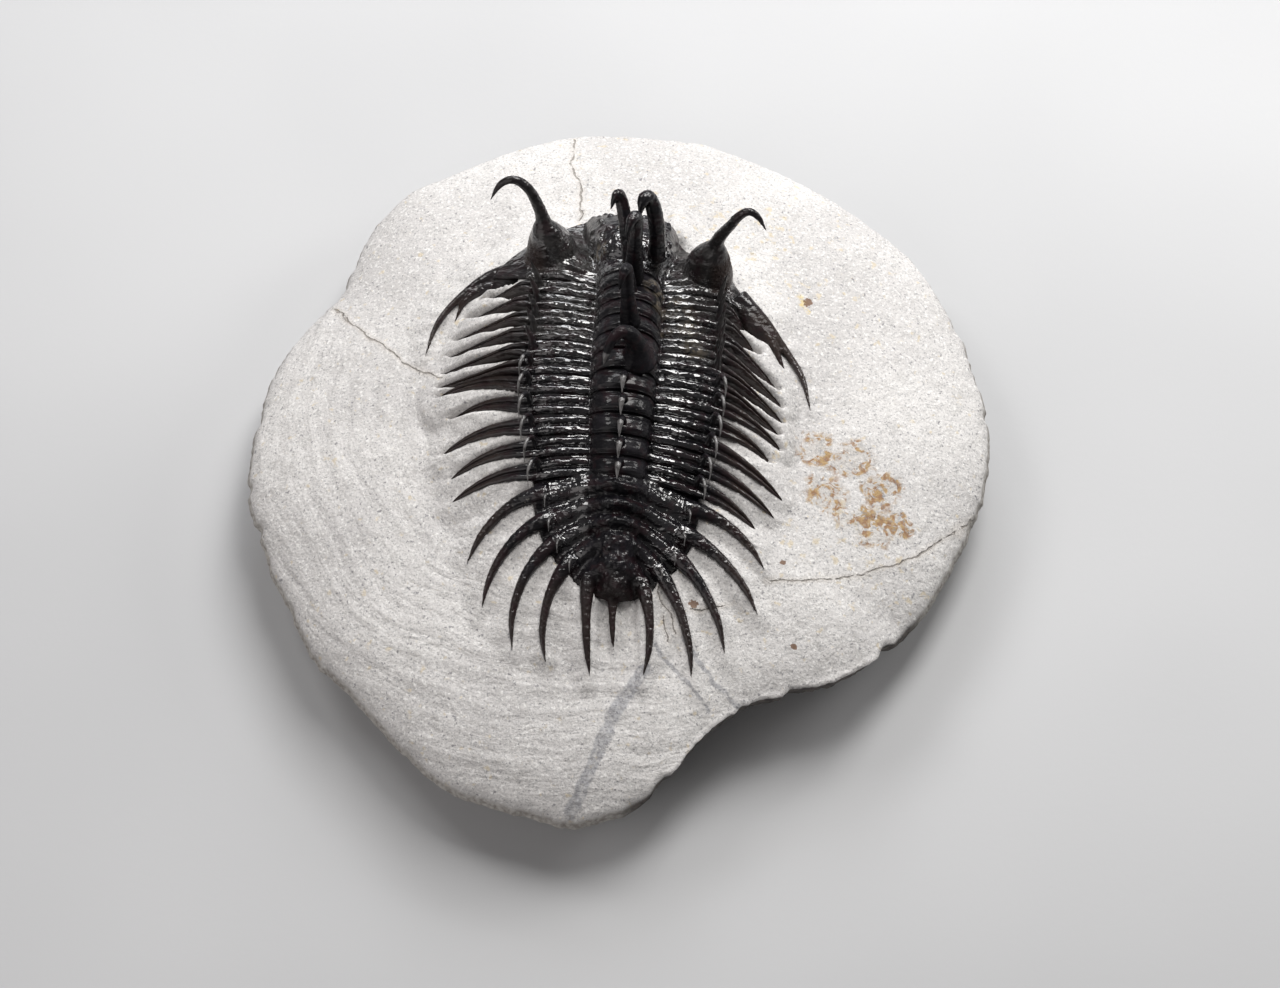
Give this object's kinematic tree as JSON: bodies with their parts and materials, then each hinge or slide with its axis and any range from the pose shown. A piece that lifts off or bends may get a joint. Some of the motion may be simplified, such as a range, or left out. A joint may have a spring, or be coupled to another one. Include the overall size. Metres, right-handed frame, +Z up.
{
  "type": "trilobite fossil specimen",
  "caption": "Spiny long-horned trilobite fossil standing on a loose, rounded piece of pale limestone with a broken edge and a flat underside.",
  "frame": {"origin": "middle of the flat underside, on the surface that the rock stands on", "axes": "+Z up out of the rock, +Y along the fossil towards its head, +X to the right of someone who looks down with the head away from them"},
  "size_m": [0.1154, 0.12, 0.0437],
  "materials": {
    "limestone": "rough pale limestone",
    "shell": "black calcite, glossy"
  },
  "bodies": {
    "root": {"matrix": "limestone", "cephalon": "shell", "thorax_segment_01": "shell", "thorax_segment_02": "shell", "thorax_segment_03": "shell", "thorax_segment_04": "shell", "thorax_segment_05": "shell", "thorax_segment_06": "shell", "thorax_segment_07": "shell", "thorax_segment_08": "shell", "thorax_segment_09": "shell", "thorax_segment_10": "shell", "thorax_segment_11": "shell", "pygidium": "shell"}
  },
  "joints": []
}
